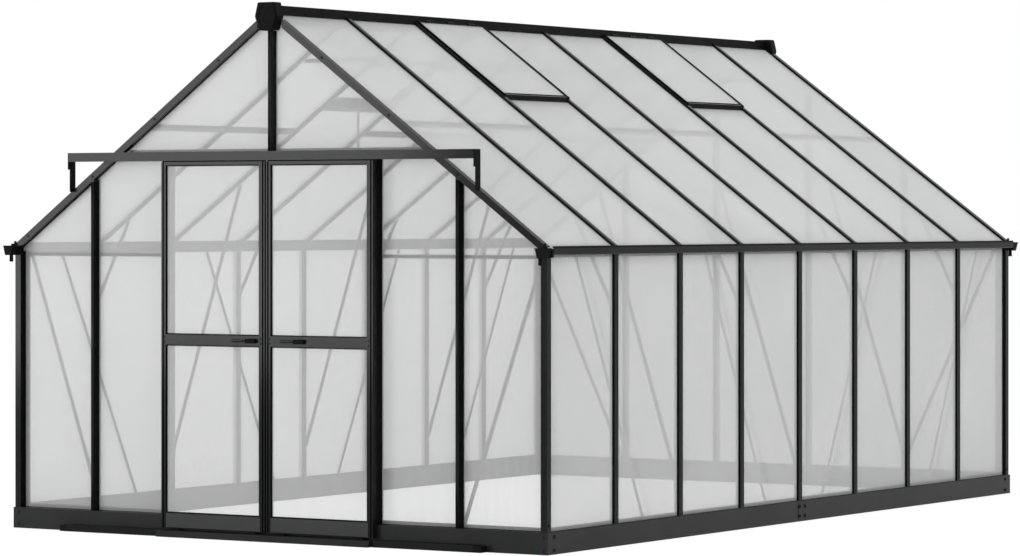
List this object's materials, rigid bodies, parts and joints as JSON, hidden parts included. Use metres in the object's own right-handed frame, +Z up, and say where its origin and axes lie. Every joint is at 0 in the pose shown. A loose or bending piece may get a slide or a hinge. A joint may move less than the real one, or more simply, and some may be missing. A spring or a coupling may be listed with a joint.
{
  "type": "polycarbonate greenhouse",
  "caption": "Walk-in greenhouse with an anthracite aluminium frame, twin-wall sheets, double sliding doors, roof vents, gutters and a steel base.",
  "frame": {"origin": "on the ground, at the centre of the outline between the front threshold's toe and the rear gutter ends", "axes": "+X to the right of someone facing the doors, +Y from the doors to the back gable, +Z up"},
  "size_m": [3.152, 5.021, 2.5513],
  "materials": {
    "frame_aluminium": "satin anthracite powder coat on extruded aluminium",
    "base_steel": "satin anthracite powder coat on folded steel",
    "polycarbonate_sheet": "translucent twin-wall sheet with fine upright flutes",
    "black_plastic": "fine matt moulded black",
    "stay_metal": "satin zinc"
  },
  "bodies": {
    "greenhouse": {"base_front": "base_steel", "base_back": "base_steel", "base_left": "base_steel", "base_right": "base_steel", "corner_posts": "frame_aluminium", "side_bars": "frame_aluminium", "wall_sills": "frame_aluminium", "eave_beams": "frame_aluminium", "gutter_left": "frame_aluminium", "gutter_right": "frame_aluminium", "gutter_outlets": "black_plastic", "front_studs": "frame_aluminium", "door_jambs": "frame_aluminium", "door_header": "frame_aluminium", "back_studs": "frame_aluminium", "front_transoms": "frame_aluminium", "verge_rafters": "frame_aluminium", "ridge_beam": "frame_aluminium", "ridge_caps": "black_plastic", "roof_bars": "frame_aluminium", "roof_crossbars": "frame_aluminium", "collar_ties": "frame_aluminium", "knee_braces": "frame_aluminium", "wall_braces": "frame_aluminium", "side_sheets_left": "polycarbonate_sheet", "side_sheets_right": "polycarbonate_sheet", "roof_sheets_left": "polycarbonate_sheet", "roof_sheets_right": "polycarbonate_sheet", "front_sheets": "polycarbonate_sheet", "back_sheets": "polycarbonate_sheet", "vent_frames": "frame_aluminium", "vent_sheets": "polycarbonate_sheet", "vent_stays": "stay_metal", "header_rail": "frame_aluminium", "track_ends": "black_plastic", "ground_guide": "frame_aluminium", "threshold_ramp": "base_steel"},
    "door_left": {"door_left_frame": "frame_aluminium", "door_left_sheets": "polycarbonate_sheet", "door_left_handle": "black_plastic", "door_left_runners": "black_plastic"},
    "door_right": {"door_right_frame": "frame_aluminium", "door_right_sheets": "polycarbonate_sheet", "door_right_handle": "black_plastic", "door_right_runners": "black_plastic"}
  },
  "joints": [
    {"name": "door_left_slide", "type": "slide", "parent": "greenhouse", "child": "door_left", "axis": [-1, 0, 0], "range_m": [0, 0.555]},
    {"name": "door_right_slide", "type": "slide", "parent": "greenhouse", "child": "door_right", "axis": [1, 0, 0], "range_m": [0, 0.555]}
  ]
}
